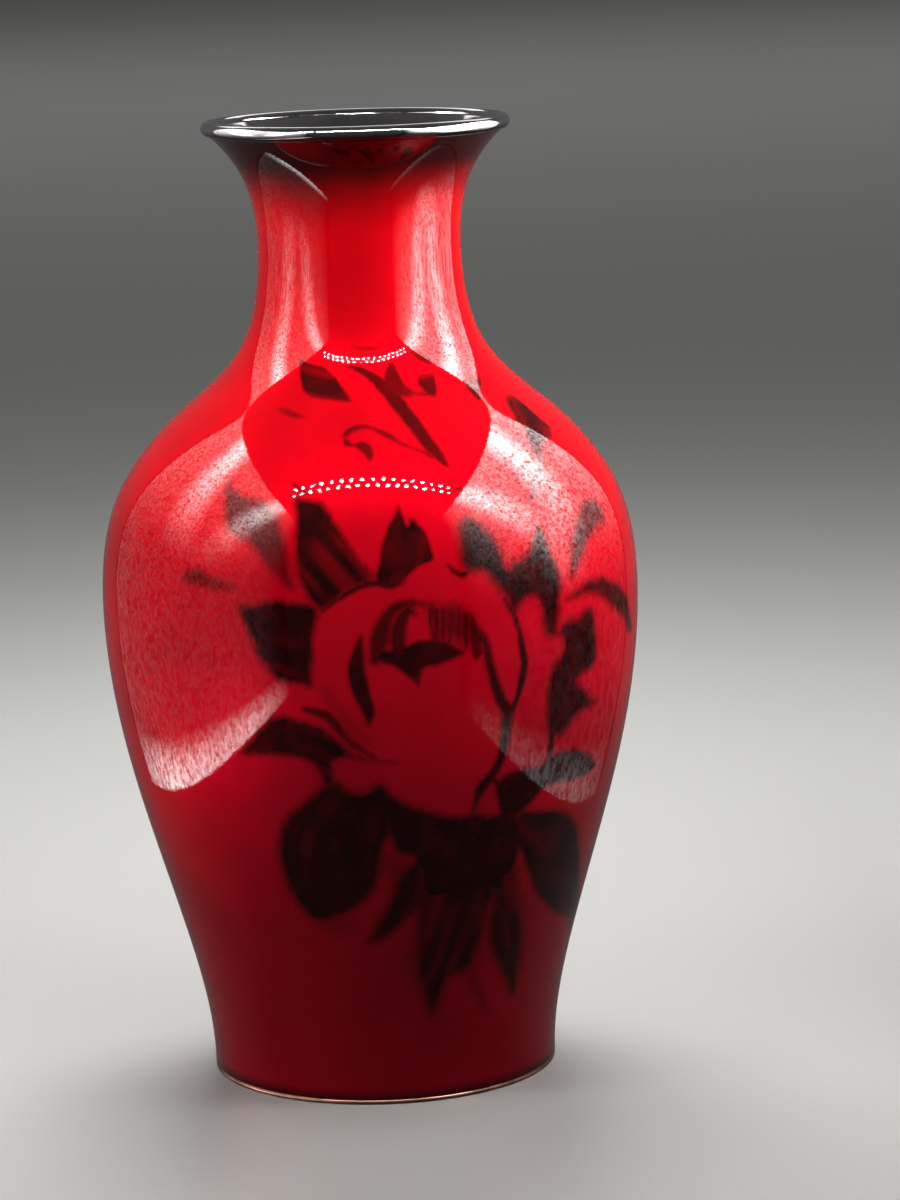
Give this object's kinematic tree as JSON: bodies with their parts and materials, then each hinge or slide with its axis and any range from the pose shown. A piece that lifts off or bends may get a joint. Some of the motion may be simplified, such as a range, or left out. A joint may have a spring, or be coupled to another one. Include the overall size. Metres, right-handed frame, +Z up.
{
  "type": "cloisonne vase",
  "caption": "Baluster vase in wireless cloisonne: red enamel on copper with a dark inlaid rose, a flared mouth with a metal rim and a copper foot ring.",
  "frame": {"origin": "on the table, at the centre of the foot", "axes": "+Z up along the vase's axis, -Y towards the side that carries the rose, +X to the right of it"},
  "size_m": [0.1036, 0.1036, 0.185],
  "materials": {
    "red_enamel": "gloss",
    "rose_enamel": "gloss",
    "black_enamel": "gloss",
    "counter_enamel": "gloss",
    "copper": "satin",
    "silver": "polished"
  },
  "bodies": {
    "root": {"bar_left": "black_enamel", "bar_right": "black_enamel", "base_enamel": "counter_enamel", "bud_stroke_long": "black_enamel", "bud_stroke_short": "black_enamel", "copper_body": "copper", "copper_neck": "copper", "copper_shoulder": "copper", "foot_ring": "copper", "leaf_bottom_middle": "black_enamel", "leaf_bottom_right": "black_enamel", "leaf_far_left": "black_enamel", "leaf_far_right": "black_enamel", "leaf_far_shoulder": "black_enamel", "leaf_left": "black_enamel", "leaf_lower_left": "black_enamel", "leaf_lower_middle": "black_enamel", "leaf_lower_right": "black_enamel", "leaf_lower_small": "black_enamel", "leaf_right": "black_enamel", "leaf_shoulder_left": "black_enamel", "leaf_shoulder_middle": "black_enamel", "leaf_shoulder_right": "black_enamel", "leaf_top": "black_enamel", "leaf_upper_left": "black_enamel", "leaf_upper_right": "black_enamel", "lining_enamel": "counter_enamel", "lip_shade_enamel": "black_enamel", "mouth_rim": "silver", "petal_stroke_left": "black_enamel", "petal_stroke_outer": "black_enamel", "petal_stroke_right": "black_enamel", "red_ground_enamel": "red_enamel", "rose_heart_arc": "black_enamel", "rose_heart_shade": "black_enamel", "rose_petals": "rose_enamel", "stem_right": "black_enamel", "stem_shoulder": "black_enamel"}
  },
  "joints": []
}
